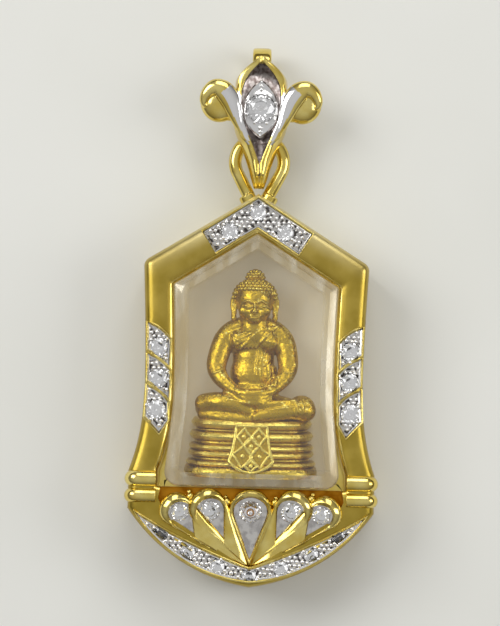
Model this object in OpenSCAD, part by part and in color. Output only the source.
// Pendant with a small cast seated figure in a clear case, lying on its back.
// X runs across the pendant, Y up towards the bail, Z out of its face. Millimetres.

/* [Frame] */
// Rise of the roof above the shoulders
roof_h = 6.8; // [5:0.1:9]
// Height of the shoulders above the waist
upper_l = 11.1; // [9:0.1:14]
// Drop from the waist to the top rib
lower_l = 8.8; // [7:0.1:11]
// Height of the lunette, from the top rib to the keel
lunette_h = 10.8; // [9.8:0.1:12.5]
// Width over the shoulders
shoulder_w = 21.5; // [19.8:0.1:24]
// Width at the waist
waist_w = 20.7; // [19.5:0.1:23]
// Width over the ribs
base_w = 24; // [23.4:0.1:26]
// Depth of the frame, from its back rim to its face
frame_t = 7.2; // [6.6:0.1:9]
// Width of the side bands
side_band_w = 2.75; // [2.6:0.05:3.4]
// Width of the roof bands
roof_band_w = 3.4; // [3.2:0.05:4.2]
// Bevel along the outer edge
edge = 0.55; // [0.2:0.05:0.7]
// Radius of the shoulders seen from the front
shoulder_r = 0.9; // [0.3:0.1:1.5]
// Outward bow of each half of the keel
keel_bow = 1.45; // [0.8:0.05:2]
// Width of the lip that the case rests on
lip_w = 0.7; // [0.4:0.05:1.2]
// Thickness of that lip
lip_t = 0.8; // [0.5:0.05:1.2]

/* [Ribs] */
// Radius of the upper rib
rib_r = 0.8; // [0.6:0.05:0.9]
// Radius of the lower rib
rib_low_r = 0.5; // [0.3:0.05:0.6]
// How far the ribs stand out from the side walls
rib_out = 0.35; // [0.2:0.05:0.5]

/* [Fan of petals] */
// Radius of the middle petal's head
petal_r = 2.05; // [1.8:0.05:2.2]
// Width of a petal's gold rim
petal_rim = 0.42; // [0.3:0.02:0.5]
// How far the petal heads stand above the frame's face
petal_rise = 1; // [0.4:0.1:1.6]
// Depth of the fan's ground below the frame's face
fan_deep = 1; // [0.6:0.1:1.6]
// Radius of the beads between the petals
bead_r = 0.4; // [0.3:0.02:0.5]

/* [Case] */
// Width of the clear case at its foot
case_foot_w = 16.6; // [15:0.1:17.4]
// Clearance round the case
case_gap = 0.1; // [0.05:0.01:0.2]
// Thickness of the case's walls
case_wall = 0.85; // [0.6:0.05:1.1]
// Thickness of the case's back plate
case_back_t = 0.9; // [0.6:0.05:1.3]
// How far the case stands above the frame's face
case_proud = 1.5; // [0.8:0.1:2.4]
// Bevel round the front of the case
case_bevel = 0.8; // [0.4:0.05:0.8]

/* [Figure] */
// Height of the figure with its throne
figure_h = 19.9; // [16:0.1:20.2]
// Width of the throne
figure_w = 12.8; // [10:0.1:13.2]
// Depth of the throne
figure_d = 5.5; // [4:0.1:5.6]

/* [Bail and ring] */
// Length of the fleur, from its tip to its top
fleur_l = 12.2; // [11.9:0.1:13]
// Height of the strap's crown above the fleur's top
strap_rise = 1.15; // [0.6:0.05:1.6]
// Width over the two side lobes
lobe_span = 12.4; // [11.5:0.1:13]
// Width of the fleur between the lobes
fleur_w = 6.6; // [6:0.1:7.4]
// Width of the strap
strap_w = 1.8; // [1.4:0.1:2.4]
// Thickness of the strap
strap_t = 0.7; // [0.5:0.05:0.8]
// Thickness of the ring's wire
wire_d = 1.24; // [1:0.02:1.3]
// Radius of the ring's crown, at the middle of its wire
ring_r = 2.35; // [2.25:0.05:2.5]
// Height of the ring's middle plane above the back rim
ring_z = 3.25; // [3.2:0.05:3.6]

/* [Stones] */
// Reach of the roof's plate to each side
chevron_reach = 5.25; // [4.6:0.05:6]
// Diameter of the three roof stones
chevron_d = 1.6; // [1.2:0.05:1.7]
// Diameter of the six side stones
side_d = 1.8; // [1.4:0.05:1.9]
// Diameter of the seven keel stones
keel_d = 1.4; // [1.1:0.05:1.5]
// Diameter of the middle petal's stone
petal_d = 2.1; // [1.6:0.05:2.15]
// Diameter of the bail's stone
bail_d = 2.7; // [2.2:0.05:2.8]
// How far the white plates lie below the frame's face
plate_deep = 0.3; // [0.1:0.05:0.4]
// Clearance between a stone or a plate and its seat
seat_gap = 0.05; // [0.03:0.01:0.08]

/* [Hidden] */
$fn = 40;

// Heights along the pendant, measured from the waist
apex_y = upper_l + roof_h;
rib_y = -lower_l;
keel_y = -lower_l - lunette_h;
wall_w = base_w - 2 * rib_out;
roof_slope = atan(roof_h / (shoulder_w / 2));
// The lobes of the lunette end where the keel begins
lobe_y = rib_y - 2 * rib_r - 2 * rib_low_r - 1;
rib_1_y = rib_y - rib_r;
rib_2_y = rib_1_y - rib_r - rib_low_r - 0.3;

// The bail swings about an axis through the ring
pivot_y = apex_y + 3.9;
eye_r = 2.45;
heel_r = eye_r + strap_t;
tip_y = pivot_y - 3.3;
fleur_top_y = tip_y + fleur_l;
strap_top_y = fleur_top_y + strap_rise;
shift_y = -(strap_top_y + keel_y) / 2;

gold = [0.78, 0.66, 0.28];
white_gold = [0.78, 0.77, 0.76];
stone_white = [0.9, 0.92, 0.95];
clear = [0.85, 0.85, 0.8, 0.4];
warm_gold = [0.75, 0.55, 0.2];

// Plane geometry
function unit(p) = p / norm(p);
function mix(a, b, t) = a + (b - a) * t;
function mirrored(pts) = concat(pts,
    [for (i = [len(pts) - 1:-1:0]) if (pts[i][0] > 0.001) [-pts[i][0], pts[i][1]]]);
// A corner p between a and b, rounded by an arc of radius r
function round_corner(a, p, b, r, n = 5) =
    let (u = unit(a - p), w = unit(b - p), h = acos(u * w) / 2,
        c = p + unit(u + w) * r / sin(h), s = p + u * r / tan(h), e = p + w * r / tan(h))
    [for (i = [0:n]) c + r * unit(mix(s, e, i / n) - c)];
// Points of an arc from a to b that bows out by bow to the right of its chord
function arc_between(a, b, bow, n) =
    let (c = norm(b - a) / 2, r = (c * c + bow * bow) / (2 * bow), d = unit(b - a),
        side = [d[1], -d[0]], o = (a + b) / 2 + side * (bow - r), span = asin(c / r))
    [for (i = [0:n]) let (t = -span + 2 * span * i / n) o + r * (side * cos(t) + d * sin(t))];
// The loop of points pts, which runs clockwise, drawn in by d all round
function drawn_in(pts, d) =
    let (n = len(pts))
    [for (i = [0:n - 1]) let (u = unit(pts[i] - pts[(i + n - 1) % n]), w = unit(pts[(i + 1) % n] - pts[i]),
        m = unit([u[1] + w[1], -u[0] - w[0]])) pts[i] + m * d / (m * [u[1], -u[0]])];
// A block over pts from height low up, with its edge drawn in by h from the height z to its top
module bevelled_block(pts, low, z, h) {
    n = len(pts);
    top = drawn_in(pts, h);
    polyhedron(concat([for (l = [low, z], p = pts) [p[0], p[1], l]], [for (p = top) [p[0], p[1], z + h]]),
        concat([[for (i = [n - 1:-1:0]) i]], [[for (i = [0:n - 1]) 2 * n + i]],
            [for (k = [0, n], i = [0:n - 1]) let (a = k + i, b = k + (i + 1) % n)
                each [[a, b, n + a], [b, n + b, n + a]]]));
}
// Half width of the outline between the shoulders and the top rib
function flank(y, top, mid, low) =
    y > 0 ? (mid + (top - mid) * pow(y / upper_l, 1.6)) / 2
          : (mid + (low - mid) * pow(-y / lower_l, 2.45)) / 2;
function side_x(y) = flank(y, shoulder_w, waist_w, wall_w);
function roof_y(x, inset) = apex_y - inset / cos(roof_slope) - x * tan(roof_slope);

// The frame's outline, its right half from the apex round to the keel
keel_n = 12;
function keel_arc(n) = arc_between([0, keel_y], [wall_w / 2, lobe_y], keel_bow, n);
outline = mirrored(concat(
    [[0, apex_y - 0.12], [0.35, apex_y - 0.28]],
    round_corner([0, apex_y], [shoulder_w / 2, upper_l], [side_x(upper_l - 3), upper_l - 3], shoulder_r),
    [for (k = [0.6, 0.3, 0]) [side_x(k * upper_l), k * upper_l]],
    [for (k = [0.25, 0.45, 0.6, 0.75, 0.88, 1]) [side_x(-k * lower_l), -k * lower_l]],
    [[wall_w / 2, lobe_y + 0.2]],
    [for (i = [keel_n:-1:0]) keel_arc(keel_n)[i]]));

// The opening in the frame follows the bands
window_foot_y = rib_y - 1.5;
window_half = concat(
    [[0, roof_y(0, roof_band_w)]],
    let (x = side_x(upper_l - 2.2) - side_band_w) [[x, roof_y(x, roof_band_w)]],
    [for (k = [0.4, 0]) [side_x(k * upper_l) - side_band_w, k * upper_l]],
    [for (k = [0.3, 0.55, 0.75, 0.9, 1]) [side_x(-k * lower_l) - side_band_w, -k * lower_l]],
    [[side_x(-lower_l) - side_band_w, window_foot_y]]);

// The case's outline is the opening less a clearance, and stays narrow at its foot
function case_x(y) = min(flank(y, shoulder_w, waist_w, waist_w) - side_band_w + (y < 0 ?
    (case_foot_w / 2 - waist_w / 2 + side_band_w) * pow(-y / lower_l, 1.5) : 0),
    side_x(y) - side_band_w) - case_gap;
function case_half(inset) =
    let (x = case_x(upper_l - 2.2) - inset, low = window_foot_y + case_gap + inset)
    concat([[0, roof_y(0, roof_band_w + case_gap + inset)],
            [x, roof_y(x, roof_band_w + case_gap + inset)]],
        [for (k = [0.4, 0]) [case_x(k * upper_l) - inset, k * upper_l]],
        [for (k = [0.3, 0.55, 0.75, 0.9]) [case_x(-k * lower_l) - inset, -k * lower_l]],
        round_corner([case_x(-lower_l) - inset, -lower_l],
            [case_x(-lower_l) - inset, low], [0, low], max(case_bevel + 0.5 - inset, 0.3), 4));
case_back_z = lip_t + case_gap;
case_front_z = case_back_z + case_back_t + seat_gap;
case_top_z = frame_t + case_proud;

// Cut stones with a table, a sixteen-sided girdle and a pointed pavilion
crown_h = 0.15;
pavilion_h = 0.43;
module brilliant(d) {
    r = d / 2;
    ring16 = function (rad, z, turn) [for (i = [0:15])
        [rad * cos(22.5 * i + turn), rad * sin(22.5 * i + turn), z]];
    pts = concat(
        [for (i = [0:7]) [0.56 * r * cos(45 * i), 0.56 * r * sin(45 * i), crown_h * d]],
        [for (i = [0:7]) [0.8 * r * cos(45 * i + 22.5), 0.8 * r * sin(45 * i + 22.5), 0.09 * d]],
        ring16(r, 0.01 * d, 0), ring16(r, -0.02 * d, 0),
        [[0, 0, -pavilion_h * d]]);
    faces = concat(
        [[for (i = [7:-1:0]) i]],
        [for (i = [0:7]) [i, (i + 1) % 8, 8 + i]],
        [for (i = [0:7]) [i, 8 + i, 16 + 2 * i]],
        [for (i = [0:7]) [(i + 1) % 8, 16 + (2 * i + 2) % 16, 8 + i]],
        [for (i = [0:7]) [8 + i, 16 + 2 * i + 1, 16 + 2 * i]],
        [for (i = [0:7]) [8 + i, 16 + (2 * i + 2) % 16, 16 + 2 * i + 1]],
        [for (i = [0:15]) each [[16 + i, 16 + (i + 1) % 16, 32 + i],
            [32 + i, 16 + (i + 1) % 16, 32 + (i + 1) % 16]]],
        [for (i = [0:15]) [32 + i, 32 + (i + 1) % 16, 48]]);
    polyhedron(pts, faces);
}
// The hollow under a stone's girdle
module seat(d) {
    r = d / 2 + seat_gap;
    h = pavilion_h * d + seat_gap;
    translate([0, 0, -h]) cylinder(h = h, r1 = 0.12, r2 = r);
    cylinder(h = d, r = r);
}
// Grains of metal that hold a stone, at the angles turns round it
module grains(d, turns = [45, 135, 225, 315]) {
    g = 0.11 * d;
    for (t = turns) rotate(t) translate([d / 2 + seat_gap + g, 0, 0]) sphere(g, $fn = 16);
}

// Places of the stones, as [x, y, angle about Z]
chevron_plate_in = 0.5;
chevron_mid_in = (roof_band_w + chevron_plate_in) / 2 - 0.1;
chevron_step = chevron_d * 1.95;
chevron_spots = [for (i = [-1:1]) let (x = i * chevron_step * cos(roof_slope))
    [x, roof_y(abs(x), chevron_mid_in) + (i == 0 ? 0.2 : 0)]];
cell_n = 3;
cell_pitch = 2.95;
cell_wire = 0.3;
cell_lean = 1.6;
cell_top_y = 0.48 * upper_l;
cell_spots = [for (i = [0:cell_n - 1]) let (y = cell_top_y - 2.5 - i * cell_pitch)
    [side_x(y) - side_band_w / 2 + 0.12, y]];
keel_step = 23;
crescent_spots = [for (i = [-3:3]) let (p = keel_arc(100)[keel_step * abs(i)])
    [sign(i) * p[0] * 0.95, p[1] + 1.1]];

// Depth levels
plate_t = 1;
plate_z = frame_t - plate_deep;
fan_z = frame_t - fan_deep;
fan_tail = [0, keel_y + 1.9];

// The fan's petals, each [head x, head y, head radius] as shares of the middle one's radius,
// then the lean of its cup in degrees and the cup's length from the stone as a share of that radius
petal_y = rib_y - 3.7;
petal_table = [[-3.25, -0.1, 0.76, 30, 1.5], [-1.87, 0, 0.88, 25, 1.65], [0, 0, 1, 0, 2.2],
    [1.87, 0, 0.88, -25, 1.65], [3.25, -0.1, 0.76, -30, 1.5]];
petals = [for (p = petal_table) [p[0] * petal_r, petal_y + p[1] * petal_r, p[2] * petal_r, p[3],
    p[4] * petal_r]];
function petal_stone(i) = petal_d * petal_share[i];
petal_share = [0.78, 0.9, 1, 0.9, 0.78];
fan_reach = norm([petals[0][0], petals[0][1]] - fan_tail) + petal_r;
fan_rise = fan_deep + petal_rise;
petal_deep = 0.7;
// Thickness of the white floors under the petals' and the bail's stones
floor_t = 0.6;

// A teardrop along -Y from a head of radius r to a point at distance l
module teardrop(r, l) {
    a = acos(r / l);
    polygon(concat([[0, -l]], [for (i = [0:20]) let (t = -90 + a + (360 - 2 * a) * i / 20)
        [r * cos(t), r * sin(t)]]));
}
module petal_place(i) {
    p = petals[i];
    d = [p[0], p[1]] - fan_tail;
    translate([p[0], p[1], 0]) rotate(atan2(d[1], d[0]) - 90) children();
}
module cup_place(i) {
    translate([petals[i][0], petals[i][1], 0]) rotate(petals[i][3]) children();
}
function petal_l(i) = norm([petals[i][0], petals[i][1]] - fan_tail);
function head_z(i) = fan_tail_z + (petal_l(i) + 0.5) * tan(fan_tilt);
// A wedge along -Y, from z0 up to a slope that passes through the height z at the petal's head
module wedge(z0, z) {
    l = 9.5;
    r = 3;
    translate([-r, 0, 0]) rotate([90, 0, 90]) linear_extrude(2 * r)
        polygon([[-l, z0], [-l, z - l * tan(fan_tilt)], [r, z + r * tan(fan_tilt)], [r, z0]]);
}
fan_tail_z = fan_z + 0.3;
fan_tilt = atan((fan_rise - 0.3) / fan_reach);

module petal_body(i) {
    petal_place(i) intersection() {
        translate([0, 0, fan_z - 0.3]) linear_extrude(5) teardrop(petals[i][2], petal_l(i));
        wedge(fan_z - 1, head_z(i));
    }
}
// The space in petal i's cup between two slopes, at depths below its rim
module cup(i, gap, low, high) {
    cup_place(i) difference() {
        intersection() {
            linear_extrude(frame_t + 5) teardrop(petals[i][2] - petal_rim - gap, petals[i][4] - 2 * gap);
            wedge(-1, head_z(i) - high);
        }
        wedge(-2, head_z(i) - low);
    }
}
module frame_body() {
    bevelled_block(outline, 0, frame_t - edge, edge);
}
// The lunette's ground, between the opening and the keel
fan_half = concat([[0, window_foot_y - 0.01], [wall_w / 2 - 3.1, window_foot_y - 0.01]],
    [[wall_w / 2 - 2.9, rib_2_y - 0.2], [wall_w / 2 - 3.6, lobe_y - 0.5]],
    [[0, keel_y + 1.6]]);
// The crescent along the keel, clockwise, between two arcs that meet in its tips
crescent_tip = [wall_w / 2 - 0.75, lobe_y - 0.35];
crescent = let (low = arc_between([0, keel_y + 0.55], crescent_tip, keel_bow, 10),
    high = arc_between([0, keel_y + 1.75], crescent_tip, 0.3, 8))
    mirrored(concat(high, [for (i = [9:-1:0]) low[i]]));

module ribs() {
    for (s = [-1, 1], r = [[rib_1_y, rib_r], [rib_2_y, rib_low_r]]) {
        x = base_w / 2 - r[1];
        z = frame_t - 0.35;
        translate([s * x, r[0], z]) rotate([0, -s * 90, 0])
            cylinder(h = x - (wall_w / 2 - side_band_w) - 0.15, r = r[1]);
        translate([s * x, r[0], z]) sphere(r[1]);
        translate([s * x, r[0], 0.9]) cylinder(h = z - 0.9, r = r[1]);
    }
}
module ring() {
    bottom = 27.35;
    crown_y = pivot_y - 0.6;
    foot = [ring_r * cos(bottom), crown_y - ring_r * sin(bottom)];
    translate([0, crown_y, ring_z]) rotate(-bottom)
        rotate_extrude(angle = 180 + 2 * bottom) translate([ring_r, 0]) circle(d = wire_d);
    for (s = [-1, 1]) translate([s * foot[0], foot[1], ring_z])
        rotate([0, 0, s * -bottom]) rotate([90, 0, 0]) translate([0, 0, -0.1])
        cylinder(h = 3.7, d = wire_d - 0.02);
    for (s = [-1, 1]) translate([s * 1.18, apex_y + 0.1, ring_z])
        rotate([0, 0, s * -bottom]) rotate([90, 0, 0]) cylinder(h = 0.9, d = wire_d + 0.4);
}
module frame() {
    color(gold) {
        difference() {
            union() {
                ground();
                for (i = [0:4]) petal_body(i);
                translate([fan_tail[0], fan_tail[1], fan_z - 0.3]) cylinder(h = 0.75, r = 0.5);
            }
            for (i = [0:4]) {
                cup(i, 0, petal_deep + floor_t, -3);
                petal_stone_place(i) seat(petal_stone(i) + 2 * seat_gap);
            }
            translate([0, 0, plate_z - plate_t]) linear_extrude(frame_t) polygon(crescent);
            for (p = crescent_spots) translate([p[0], p[1], plate_z]) seat(keel_d + 2 * seat_gap);
        }
        for (s = [-1, 1], i = [3, 4]) {
            a = petals[i - 1];
            b = petals[i];
            m = mix([a[0], a[1]], [b[0], b[1]], a[2] / (a[2] + b[2]));
            translate([s * m[0], m[1] + 0.62 * petal_r, fan_z + 0.6]) sphere(bead_r);
        }
    }
}
// The bands, ribs and ring, with the opening, the fan's ground and the plates' wells
module ground() {
    difference() {
        union() {
            frame_body();
            ribs();
            ring();
        }
        translate([0, 0, lip_t]) linear_extrude(frame_t + 2) polygon(mirrored(window_half));
        translate([0, 0, -1]) linear_extrude(3) polygon(mirrored(case_half(lip_w)));
        translate([0, 0, fan_z]) linear_extrude(frame_t) polygon(mirrored(fan_half));
        translate([0, 0, plate_z - plate_t]) linear_extrude(frame_t) {
            polygon(mirrored(chevron_half(0)));
            for (s = [0, 1], i = [0:2]) mirror([s, 0, 0]) polygon(cell(i));
        }
    }
}

// The roof's plate, a chevron along both slopes
function chevron_half(g) =
    let (x = chevron_reach - g, c = cos(roof_slope), s = sin(roof_slope),
        a = [x, roof_y(x, chevron_plate_in + g)], w = roof_band_w - chevron_plate_in - 0.45 - 2 * g)
    [[0, roof_y(0, chevron_plate_in + g)], a, a - [s, c] * w, [0, roof_y(0, roof_band_w - 0.45 - g)]];
// The leaf-shaped cell round stone i of the right side band, clockwise from its sharp upper corner.
// The cells lean over each other, and the last one ends in a point
function cell(i) =
    let (w = side_band_w - 0.35, up = 0.8 * cell_pitch, h = cell_pitch - cell_wire,
        last = i == cell_n - 1, a = [w / 2, up], b = [-w / 2, up - cell_lean],
        foot = last ? [[w / 2, -0.24 * cell_pitch], [-0.15 * w, -0.78 * cell_pitch],
                [-w / 2, -0.34 * cell_pitch]]
            : [[w / 2, up - h], [-w / 2 + 0.1, up - cell_lean - h]],
        bow = arc_between(a, b, 0.3, 6))
    [for (p = concat([a], foot, [for (k = [6:-1:1]) bow[k]])) cell_spots[i] + p];
// A plate of the drawn outline with seats for stones of diameter d and their grains
module plate(spots, d, turns) {
    color(white_gold) difference() {
        union() {
            translate([0, 0, plate_z - plate_t + seat_gap]) linear_extrude(plate_t) children();
            for (i = [0:len(spots) - 1]) translate([spots[i][0], spots[i][1], plate_z + seat_gap])
                grains(d, turns[i]);
        }
        for (p = spots) translate([p[0], p[1], plate_z + seat_gap]) seat(d);
    }
}
module setting_chevron() {
    square_on = [for (i = [0:3]) 45 + 90 * i];
    plate(chevron_spots, chevron_d, [for (s = [1, 0, -1]) [for (t = square_on) t + s * roof_slope]])
        polygon(mirrored(chevron_half(seat_gap)));
}
module side_setting(i) {
    plate([cell_spots[i]], side_d, [[70, 236]]) polygon(drawn_in(cell(i), seat_gap));
}
module setting_crescent() {
    // Grains stand between the stones only
    turns = [for (i = [0:6]) let (a = crescent_spots[max(i - 1, 0)], b = crescent_spots[min(i + 1, 6)],
        t = atan2(b[1] - a[1], b[0] - a[0])) concat(i < 6 ? [t] : [], i > 0 ? [t + 180] : [])];
    plate(crescent_spots, keel_d, turns) polygon(drawn_in(crescent, seat_gap));
}

// The white floor of petal i's cup, with its stone's seat
module setting_petal(i) {
    color(white_gold) difference() {
        cup(i, seat_gap, petal_deep + floor_t - seat_gap, petal_deep);
        petal_stone_place(i) seat(petal_stone(i));
    }
}
module petal_stone_place(i) {
    translate([0, 0, head_z(i) - petal_deep + seat_gap]) cup_place(i)
        rotate([fan_tilt, 0, 0]) children();
}

// The clear case
module case_front() {
    outer = mirrored(case_half(0));
    color(clear) difference() {
        bevelled_block(outer, case_front_z, case_top_z - case_bevel, case_bevel);
        translate([0, 0, case_front_z - 1])
            linear_extrude(case_top_z - case_wall - case_front_z + 1)
            polygon(mirrored(case_half(case_wall)));
    }
}
module case_back() {
    color(clear) translate([0, 0, case_back_z])
        linear_extrude(case_back_t) polygon(mirrored(case_half(0)));
}

// The bail: a fleur in front, a strap over and behind it, and a narrow heel through the ring
plate_back = 0.75;
fleur_h = 1.3;
rim_h = 0.45;
collar_h = 0.5;
lobe_r = 2.15;
lobe_at = [lobe_span / 2 - lobe_r, tip_y + 0.67 * fleur_l];
heel_w = 0.7;
bail_stone_at = [0, tip_y + 0.62 * fleur_l, plate_back + fleur_h + collar_h];
// The fleur from its tip up, as shares of its length and of its half width: the V, which opens
// towards the lobes, and the pointed petal above them
fleur_table = [[0, 0.2], [0.13, 0.29], [0.29, 0.48], [0.375, 0.68], [0.45, 0.87], [0.53, 1],
    [0.6, 0.94], [0.655, 0.8], [0.755, 0.75], [0.835, 0.56], [0.92, 0.29], [1, 0.03]];
// The fleur's outline, drawn in by rim at its sides, its tip and its top
module fleur_2d(rim) {
    last = len(fleur_table) - 1;
    polygon(mirrored([for (i = [last:-1:0]) [max(fleur_table[i][1] * fleur_w / 2 - rim, 0.05),
        tip_y + fleur_table[i][0] * fleur_l + (i == 0 ? 1.6 * rim : i == last ? -1.3 * rim : 0)]]));
}
// A rolled side lobe with the groove of its curl
module lobe() {
    translate([lobe_at[0], lobe_at[1], plate_back]) difference() {
        rotate_extrude() polygon(concat([[0, 0], [lobe_r, 0]],
            [for (t = [0:15:90]) [lobe_r - 1 + cos(t), 0.6 + 1.1 * sin(t)]], [[0, 1.7]]));
        translate([-0.35, -0.35, 1.75]) rotate(10)
            rotate_extrude(angle = 190) translate([1.25, 0]) circle(0.3, $fn = 16);
    }
}
// A shape drawn in the side view, [y from the pivot, z from the ring's plane], made w wide
module across(w) {
    translate([-w / 2, pivot_y, 0]) rotate([90, 0, 90]) linear_extrude(w) children();
}
module sector(a0, a1, r0, r1, n = 16) {
    polygon(concat([for (i = [0:n]) let (t = a0 + (a1 - a0) * i / n) r1 * [cos(t), sin(t)]],
        [for (i = [n:-1:0]) let (t = a0 + (a1 - a0) * i / n) r0 * [cos(t), sin(t)]]));
}
// The part of the fleur's tip that is cut away so that it swings through the ring
module swing_clearance() {
    across(3) difference() {
        translate([-4.5, -1]) square([3.6, 5]);
        circle(3.3, $fn = 80);
    }
    for (s = [0, 1]) mirror([s, 0, 0]) translate([0.42, tip_y, 0.95])
        rotate([0, 0, -18.5]) rotate([0, -22, 0]) translate([0, -1, -1.5]) cube([3, 5.3, 6]);
}
// The strap is bent from one strip: a round crown, and a straight back that narrows to the heel
module strap() {
    front = plate_back + 0.7;
    crown_r = (heel_r + front) / 2;
    crown_at = [strap_top_y - pivot_y - crown_r, front - crown_r];
    across(heel_w) sector(150, 270, eye_r, heel_r);
    intersection() {
        across(strap_w) {
            translate([-0.4, -heel_r]) square([crown_at[0] + 0.4, strap_t]);
            translate(crown_at) sector(-90, 90, crown_r - strap_t, crown_r);
        }
        translate([0, pivot_y, -heel_r - 1]) linear_extrude(3 * crown_r) polygon(mirrored(
            [[strap_w, 2 * crown_r + fleur_l], [strap_w, 1.6], [strap_w / 2, 1.5], [heel_w / 2, -0.4]]));
    }
}
module bail() {
    color(gold) translate([0, 0, ring_z]) {
        difference() {
            union() {
                translate([0, 0, plate_back]) linear_extrude(fleur_h + rim_h) fleur_2d(0);
                translate([0, lobe_at[1] + 0.3, plate_back + 0.75])
                    cube([2 * lobe_at[0], 2.4, 1.5], center = true);
                lobe();
                mirror([1, 0, 0]) lobe();
            }
            translate([0, 0, plate_back + fleur_h - floor_t]) linear_extrude(3) fleur_2d(0.55);
            translate(bail_stone_at) seat(bail_d + 2 * seat_gap);
            swing_clearance();
        }
        strap();
    }
}
// The white floor of the fleur, with the lozenge collar of its stone
module lozenge(w, h) {
    r = (w * w + h * h) / (4 * w);
    intersection_for (s = [-1, 1]) translate([s * (r - w / 2), 0]) circle(r, $fn = 96);
}
module bail_setting() {
    z = plate_back + fleur_h - floor_t + seat_gap;
    color(white_gold) translate([0, 0, ring_z]) difference() {
        union() {
            translate([0, 0, z]) linear_extrude(floor_t) fleur_2d(0.55 + seat_gap);
            translate([0, bail_stone_at[1], z]) linear_extrude(floor_t + collar_h - seat_gap)
                lozenge(bail_d + 0.6, 2.1 * bail_d);
        }
        translate(bail_stone_at) seat(bail_d);
    }
}

// The cast figure on its throne. Points are shares of its half width, its height and its depth,
// and radii are shares of its height
figure_at = [-0.25, window_foot_y + case_gap + case_wall + seat_gap, case_front_z + seat_gap];
function spot(p) = [p[0] * figure_w / 2, p[1] * figure_h, p[2] * figure_d];
module ball(p, r) {
    translate(spot(p)) sphere(r * figure_h, $fn = 14);
}
module limb(a, ra, b, rb) {
    hull() {
        ball(a, ra);
        ball(b, rb);
    }
}
function side(p, s) = [s * p[0], p[1], p[2]];
// A slab of the throne, h high and w wide, as shares, with a bowed front
module slab(y, h, w, d) {
    translate([0, y * figure_h, 0]) rotate([-90, 0, 0]) linear_extrude(h * figure_h)
        polygon([for (i = [0:27]) let (t = 360 * i / 28, c = cos(t), q = sin(t))
            [w * figure_w / 2 * sign(c) * pow(abs(c), 0.55),
                -figure_d * (0.49 + d * 0.49 * sign(q) * pow(abs(q), 0.55))]]);
}
// Mouldings of the throne from the bottom up, each [height, share of its height, width]
throne = [[0, 0.04, 1], [0.044, 0.042, 0.975], [0.09, 0.03, 0.935], [0.122, 0.03, 0.93],
    [0.156, 0.03, 0.915], [0.19, 0.03, 0.91], [0.223, 0.042, 0.93]];
module throne_body() {
    slab(0, 0.26, 0.86, 0.9);
    for (m = throne) hull() {
        slab(m[0], m[1], m[2] - 0.03, 0.94);
        slab(m[0] + 0.25 * m[1], 0.5 * m[1], m[2], 1);
    }
}
// The cloth that hangs over the throne's front, with a lattice of four lozenges
cloth_half = [[0, 0.262], [0.27, 0.262], [0.25, 0.16], [0.33, 0.05], [0.17, 0.02], [0, 0.045]];
module diamond(w, h) {
    polygon([[w, 0], [0, h], [-w, 0], [0, -h]]);
}
module cloth() {
    to_size = [figure_w / 2, figure_h];
    translate([0, 0, 0.93 * figure_d]) {
        linear_extrude(0.07 * figure_d) scale(to_size) polygon(mirrored(cloth_half));
        linear_extrude(0.09 * figure_d) scale(to_size)
            for (x = [-0.12, 0.12], y = [0.1, 0.19]) translate([x, y]) {
                difference() {
                    diamond(0.132, 0.05);
                    diamond(0.095, 0.035);
                }
                diamond(0.045, 0.017);
            }
    }
}
module legs() {
    for (s = [-1, 1]) {
        limb([s * 0.2, 0.325, 0.36], 0.06, [s * 0.74, 0.315, 0.5], 0.056);
        limb([s * 0.3, 0.29, 0.3], 0.035, [s * 0.8, 0.285, 0.5], 0.03);
    }
    limb([0.74, 0.31, 0.52], 0.052, [-0.3, 0.292, 0.8], 0.034);
    limb([-0.74, 0.318, 0.55], 0.05, [0.3, 0.34, 0.79], 0.036);
    limb([0.3, 0.34, 0.79], 0.034, [0.5, 0.345, 0.76], 0.022);
}
module torso() {
    limb([0, 0.34, 0.4], 0.09, [0, 0.45, 0.42], 0.083);
    hull() {
        ball([0, 0.45, 0.41], 0.08);
        for (s = [-1, 1]) ball([s * 0.17, 0.62, 0.4], 0.075);
    }
    hull() for (s = [-1, 1]) {
        ball([s * 0.17, 0.61, 0.41], 0.076);
        ball([s * 0.42, 0.685, 0.38], 0.042);
        ball([s * 0.08, 0.71, 0.38], 0.03);
    }
    for (s = [-1, 1]) ball([s * 0.19, 0.62, 0.52], 0.05);
    limb([0, 0.7, 0.39], 0.05, [0, 0.77, 0.42], 0.048);
}
module arms() {
    for (s = [-1, 1]) {
        limb([s * 0.46, 0.68, 0.38], 0.046, [s * 0.57, 0.54, 0.4], 0.036);
        limb([s * 0.57, 0.54, 0.4], 0.036, [s * 0.2, 0.42, 0.66], 0.026);
        limb([s * 0.2, 0.42, 0.66], 0.024, [s * -0.06, 0.4, 0.74], 0.018);
    }
}
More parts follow.
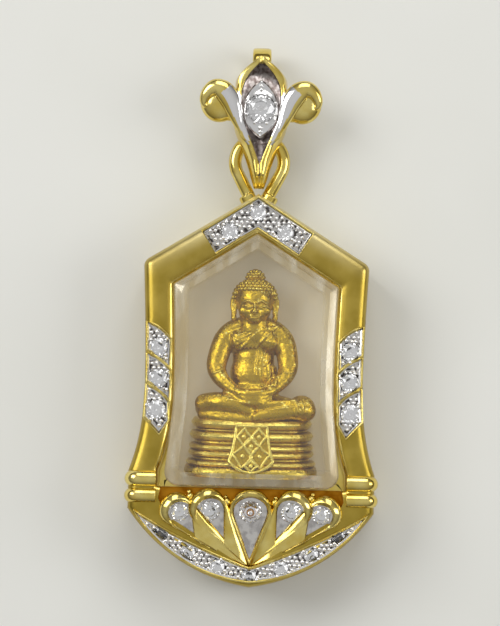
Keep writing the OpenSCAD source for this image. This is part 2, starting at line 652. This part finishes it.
module head() {
    limb([0, 0.852, 0.42], 0.088, [0, 0.785, 0.47], 0.062);
    limb([0, 0.785, 0.47], 0.06, [0, 0.757, 0.56], 0.03);
    limb([0, 0.866, 0.39], 0.094, [0, 0.885, 0.39], 0.084);
    ball([0, 0.95, 0.4], 0.05);
    limb([0, 0.85, 0.7], 0.011, [0, 0.815, 0.73], 0.016);
    limb([-0.05, 0.79, 0.7], 0.013, [0.05, 0.79, 0.7], 0.013);
    for (s = [-1, 1]) limb([s * 0.285, 0.86, 0.4], 0.022, [s * 0.265, 0.775, 0.42], 0.014);
}
// The robe's hem runs over one shoulder and under the other arm, with its folded end in front
module robe() {
    limb([0.4, 0.715, 0.42], 0.022, [0.22, 0.68, 0.6], 0.018);
    limb([0.22, 0.68, 0.6], 0.018, [0.0, 0.6, 0.66], 0.012);
    limb([0.0, 0.6, 0.64], 0.014, [-0.24, 0.555, 0.56], 0.014);
    limb([0.25, 0.69, 0.56], 0.024, [0.12, 0.46, 0.66], 0.016);
}
module figure() {
    color(warm_gold) translate(figure_at) {
        throne_body();
        cloth();
        legs();
        torso();
        arms();
        head();
        robe();
    }
}

module stone(spot, d) {
    color(stone_white) translate([spot[0], spot[1], plate_z + seat_gap + 0.02]) brilliant(d);
}

module placed() {
    translate([0, shift_y, 0]) children();
}
placed() frame();
placed() setting_chevron();
for (i = [1:3]) placed() mirror([1, 0, 0]) side_setting(i - 1);
for (i = [1:3]) placed() side_setting(i - 1);
placed() setting_crescent();
for (i = [1:5]) placed() setting_petal(i - 1);
placed() bail();
placed() bail_setting();
placed() figure();
placed() case_front();
placed() case_back();
for (i = [1:3]) placed() stone(chevron_spots[i - 1], chevron_d);
for (i = [1:3]) placed() stone([-cell_spots[i - 1][0], cell_spots[i - 1][1]], side_d);
for (i = [1:3]) placed() stone(cell_spots[i - 1], side_d);
for (i = [1:7]) placed() stone(crescent_spots[i - 1], keel_d);
for (i = [1:5]) placed() color(stone_white) petal_stone_place(i - 1) brilliant(petal_stone(i - 1));
placed() color(stone_white) translate([0, 0, ring_z]) translate(bail_stone_at) brilliant(bail_d);  // stone_bail
